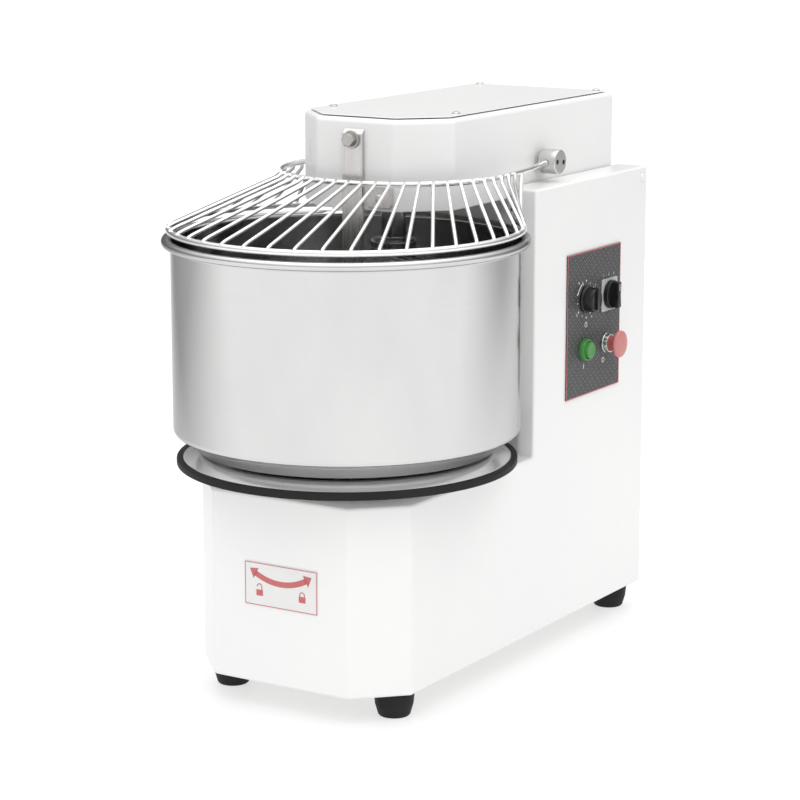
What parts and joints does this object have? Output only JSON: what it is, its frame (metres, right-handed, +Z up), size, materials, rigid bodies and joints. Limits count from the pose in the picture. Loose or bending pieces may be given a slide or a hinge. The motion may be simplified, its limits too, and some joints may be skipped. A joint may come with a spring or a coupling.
{
  "type": "spiral dough mixer",
  "caption": "Spiral dough mixer with a removable steel bowl on a turntable, tilting head with spiral and breaker bar, and a lifting wire guard.",
  "frame": {"origin": "on the floor under the middle of the machine, at the height of the feet's undersides", "axes": "+Z up, -Y towards the bowl and the front, +X towards the side with the control panel"},
  "size_m": [0.372, 0.602, 0.5872],
  "materials": {
    "white_paint": "smooth gloss powder coat",
    "satin_steel": "satin stainless",
    "bright_steel": "bright polished wire",
    "zinc_steel": "zinc plated",
    "cast_iron": "dark enamelled casting",
    "black_rubber": "moulded",
    "black_plastic": "moulded",
    "panel_film": "printed film, carbon weave pattern",
    "grey_plastic": "moulded",
    "green_plastic": "translucent green",
    "red_plastic": "moulded",
    "label_film": "printed film"
  },
  "bodies": {
    "frame": {"base_housing": "white_paint", "bottom_plate": "zinc_steel", "foot_front_left": "black_rubber", "foot_front_right": "black_rubber", "foot_rear_left": "black_rubber", "foot_rear_right": "black_rubber", "lock_label": "label_film", "cable_gland": "black_plastic", "column_housing": "white_paint", "column_deck": "white_paint", "rear_cover": "white_paint", "hinge_pin": "zinc_steel", "motor": "cast_iron", "gearbox": "cast_iron", "electrical_box": "grey_plastic", "lower_chain": "zinc_steel", "bowl_bearing": "cast_iron", "control_panel": "panel_film", "speed_plate": "grey_plastic", "start_bezel": "black_plastic", "stop_collar": "satin_steel"},
    "main_shaft": {"main_shaft": "zinc_steel", "bowl_drive_sprocket": "zinc_steel", "coupling_lower": "zinc_steel"},
    "turntable": {"turntable_plate": "satin_steel", "turntable_edge": "black_rubber", "bowl_shaft": "zinc_steel", "bowl_sprocket": "zinc_steel"},
    "bowl": {"bowl": "satin_steel", "bowl_foot": "zinc_steel"},
    "head": {"head_housing": "white_paint", "head_floor": "zinc_steel", "head_lid": "white_paint", "lid_screw_front_left": "zinc_steel", "lid_screw_front_right": "zinc_steel", "lid_screw_rear_left": "zinc_steel", "lid_screw_rear_right": "zinc_steel", "hinge_bracket_left": "zinc_steel", "hinge_bracket_right": "zinc_steel", "guard_pin_left": "zinc_steel", "guard_pin_right": "zinc_steel", "breaker_bar": "satin_steel", "breaker_bolt": "zinc_steel", "guard_switch": "satin_steel", "input_bearing": "cast_iron", "spiral_bearing": "cast_iron", "upper_chain": "zinc_steel"},
    "head_input": {"coupling_upper": "zinc_steel", "head_drive_sprocket": "zinc_steel"},
    "spiral": {"spiral_shaft": "satin_steel", "spiral_hook": "satin_steel", "spiral_sprocket": "zinc_steel"},
    "guard": {"guard_grid": "bright_steel", "guard_hub_left": "satin_steel", "guard_hub_right": "satin_steel"},
    "timer": {"timer_knob": "black_plastic"},
    "speed": {"speed_knob": "black_plastic"},
    "start": {"start_button": "green_plastic"},
    "stop_stem": {"stop_stem": "black_plastic"},
    "stop_cap": {"stop_cap": "red_plastic"}
  },
  "joints": [
    {"name": "main_turn", "type": "hinge", "parent": "frame", "child": "main_shaft", "pos_m": [0, 0.13, 0.33], "axis": [0, 0, 1], "continuous": true},
    {"name": "bowl_turn", "type": "hinge", "parent": "frame", "child": "turntable", "pos_m": [0, -0.115, 0.235], "axis": [0, 0, 1], "continuous": true},
    {"name": "bowl_lock", "type": "hinge", "parent": "turntable", "child": "bowl", "pos_m": [0, -0.115, 0.2428], "axis": [0, 0, -1], "range_deg": [0, 25]},
    {"name": "head_tilt", "type": "hinge", "parent": "frame", "child": "head", "pos_m": [0, 0.29, 0.491], "axis": [-1, 0, 0], "range_deg": [0, 45]},
    {"name": "input_turn", "type": "hinge", "parent": "head", "child": "head_input", "pos_m": [0, 0.13, 0.53], "axis": [0, 0, 1], "continuous": true},
    {"name": "spiral_turn", "type": "hinge", "parent": "head", "child": "spiral", "pos_m": [0, -0.026, 0.5], "axis": [0, 0, 1], "continuous": true},
    {"name": "guard_tilt", "type": "hinge", "parent": "head", "child": "guard", "pos_m": [0, 0.12, 0.524], "axis": [-1, 0, 0], "range_deg": [0, 75]},
    {"name": "timer_turn", "type": "hinge", "parent": "frame", "child": "timer", "pos_m": [0.135, 0.1575, 0.3735], "axis": [-1, 0, 0], "range_deg": [0, 300]},
    {"name": "speed_turn", "type": "hinge", "parent": "frame", "child": "speed", "pos_m": [0.135, 0.2098, 0.372], "axis": [-1, 0, 0], "range_deg": [-45, 45]},
    {"name": "start_press", "type": "slide", "parent": "frame", "child": "start", "axis": [-1, 0, 0], "range_m": [0, 0.004], "stiffness_N_per_m": 300},
    {"name": "stop_press", "type": "slide", "parent": "frame", "child": "stop_stem", "axis": [-1, 0, 0], "range_m": [0, 0.005], "stiffness_N_per_m": 400},
    {"name": "stop_twist", "type": "hinge", "parent": "stop_stem", "child": "stop_cap", "pos_m": [0.145, 0.2032, 0.3193], "axis": [-1, 0, 0], "range_deg": [0, 30]}
  ],
  "couplings": [
    {"joint": "bowl_turn", "follows": "main_turn", "ratio": 0.15152},
    {"joint": "input_turn", "follows": "main_turn", "ratio": 1},
    {"joint": "spiral_turn", "follows": "main_turn", "ratio": 0.88}
  ]
}
